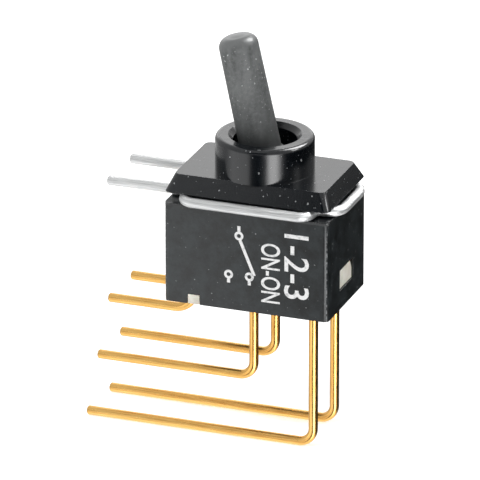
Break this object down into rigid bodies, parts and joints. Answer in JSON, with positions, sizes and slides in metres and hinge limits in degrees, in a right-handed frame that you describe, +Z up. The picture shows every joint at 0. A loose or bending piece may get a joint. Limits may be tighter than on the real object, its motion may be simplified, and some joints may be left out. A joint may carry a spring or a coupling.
{
  "type": "toggle switch",
  "caption": "Miniature two-pole toggle switch with a round bat lever, a plain bushing, right-angle board legs and a wire support bracket.",
  "frame": {"origin": "the lever's pivot: on the bushing's axis, level with the top face of the lid", "axes": "+Z up the bushing towards the lever, +X along the body away from the circuit board (the legs point to -X), -Y towards the printed front"},
  "size_m": [0.0111, 0.0054, 0.0168],
  "materials": {
    "housing": "moulded black thermoplastic, satin",
    "base": "moulded off-white thermoplastic",
    "seal": "cast dark epoxy",
    "bracket_wire": "tin-plated wire",
    "lever": "moulded dark grey plastic, satin",
    "pin_steel": "ground steel",
    "drive_block": "moulded natural nylon",
    "plunger": "drawn brass",
    "spring_steel": "drawn spring wire",
    "contact_strip": "gold-plated phosphor bronze",
    "terminal_gold": "gold-plated wire"
  },
  "bodies": {
    "case": {"housing": "housing", "base": "base", "terminal_seal": "seal", "support_bracket": "bracket_wire", "terminal_front_1": "terminal_gold", "terminal_front_2": "terminal_gold", "terminal_front_3": "terminal_gold", "terminal_rear_1": "terminal_gold", "terminal_rear_2": "terminal_gold", "terminal_rear_3": "terminal_gold"},
    "lever": {"toggle_lever": "lever", "pivot_pin": "pin_steel", "drive_block": "drive_block", "spring_front": "spring_steel", "spring_rear": "spring_steel"},
    "plunger_front": {"plunger_front": "plunger"},
    "plunger_rear": {"plunger_rear": "plunger"},
    "contactor_front": {"contactor_front": "contact_strip"},
    "contactor_rear": {"contactor_rear": "contact_strip"}
  },
  "joints": [
    {"name": "lever_tilt", "type": "hinge", "parent": "case", "child": "lever", "pos_m": [0, 0, 0], "axis": [0, 1, 0], "range_deg": [0, 25]},
    {"name": "plunger_front_slide", "type": "slide", "parent": "lever", "child": "plunger_front", "axis": [-0.2164, 0, 0.9763], "range_m": [0, 0.0002], "stiffness_N_per_m": 0.2, "springref_m": -0.0002, "deforming": ["spring_front"]},
    {"name": "plunger_rear_slide", "type": "slide", "parent": "lever", "child": "plunger_rear", "axis": [-0.2164, 0, 0.9763], "range_m": [0, 0.0002], "stiffness_N_per_m": 0.2, "springref_m": -0.0002, "deforming": ["spring_rear"]},
    {"name": "contactor_front_rock", "type": "hinge", "parent": "case", "child": "contactor_front", "pos_m": [0, -0.00127, -0.00416], "axis": [0, 1, 0], "range_deg": [-12.5, 0]},
    {"name": "contactor_rear_rock", "type": "hinge", "parent": "case", "child": "contactor_rear", "pos_m": [0, 0.00127, -0.00416], "axis": [0, 1, 0], "range_deg": [-12.5, 0]}
  ],
  "couplings": [
    {"joint": "contactor_front_rock", "follows": "lever_tilt", "ratio": -0.5},
    {"joint": "contactor_rear_rock", "follows": "lever_tilt", "ratio": -0.5}
  ]
}
